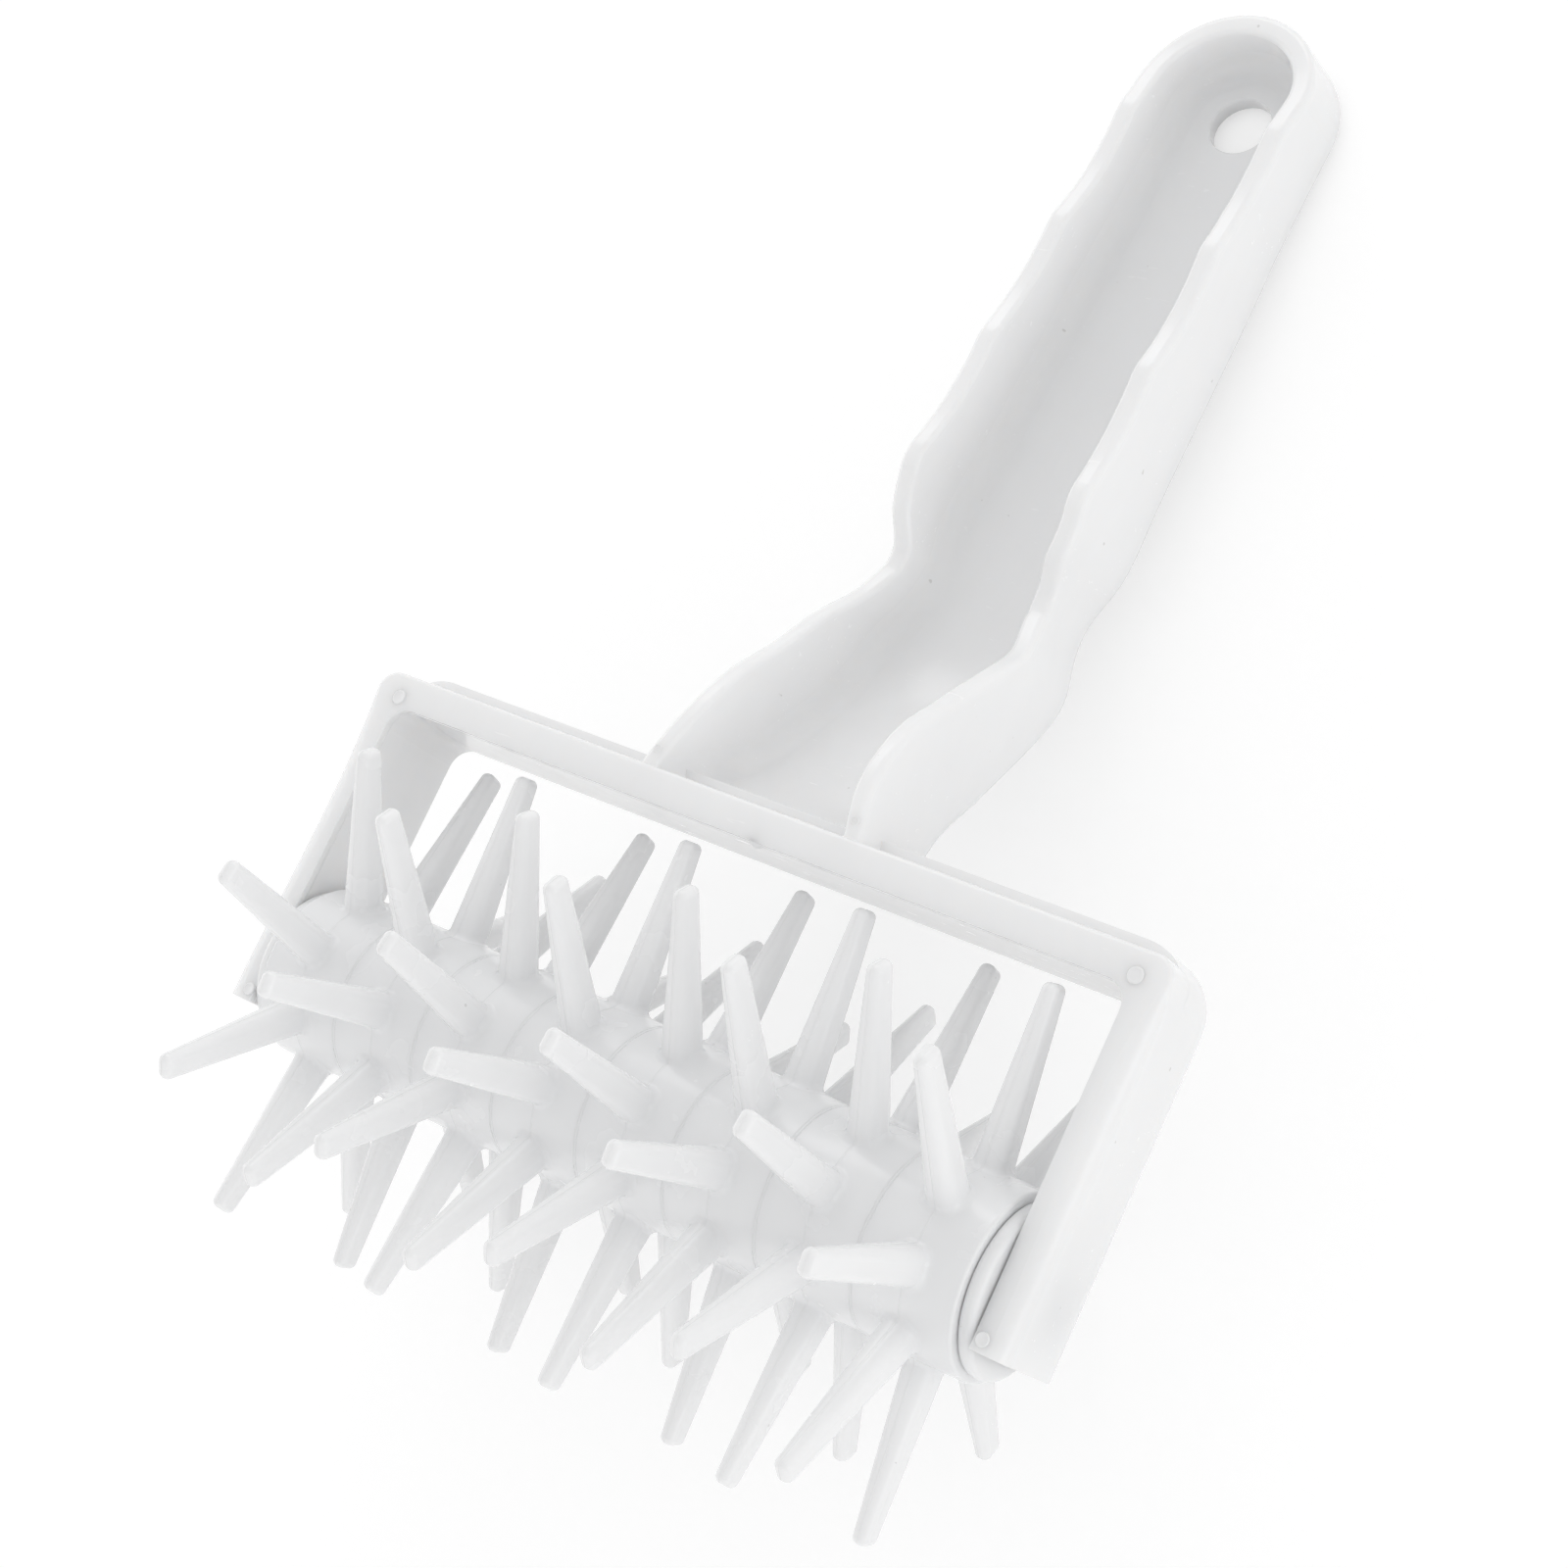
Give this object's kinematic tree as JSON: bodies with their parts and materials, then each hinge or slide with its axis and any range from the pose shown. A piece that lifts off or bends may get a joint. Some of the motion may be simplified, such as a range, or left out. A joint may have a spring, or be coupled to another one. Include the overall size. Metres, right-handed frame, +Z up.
{
  "type": "dough docker",
  "caption": "Plastic dough docker: a roller of staggered spiked rings turning in a U-shaped yoke on an open channel handle with finger scallops and a hang hole.",
  "frame": {"origin": "on the table under the middle of the whole tool, which lies with the open side of its handle up", "axes": "+X along the axle to the right arm, +Y from the roller to the end of the handle, +Z up from the table"},
  "size_m": [0.131, 0.2212, 0.0739],
  "materials": {
    "frame_plastic": "satin to gloss, slightly translucent white moulding",
    "ring_plastic": "satin, slightly translucent white moulding",
    "axle_plastic": "satin white moulding"
  },
  "bodies": {
    "frame": {"handle_frame": "frame_plastic"},
    "roller": {"axle": "axle_plastic", "left_end_disc": "axle_plastic", "right_end_disc": "axle_plastic", "spiked_ring_1": "ring_plastic", "spiked_ring_2": "ring_plastic", "spiked_ring_3": "ring_plastic", "spiked_ring_4": "ring_plastic", "spiked_ring_5": "ring_plastic", "spiked_ring_6": "ring_plastic", "spiked_ring_7": "ring_plastic", "spiked_ring_8": "ring_plastic"}
  },
  "joints": [
    {"name": "roller_spin", "type": "hinge", "parent": "frame", "child": "roller", "pos_m": [0, -0.07479, 0.0381], "axis": [1, 0, 0], "continuous": true}
  ]
}
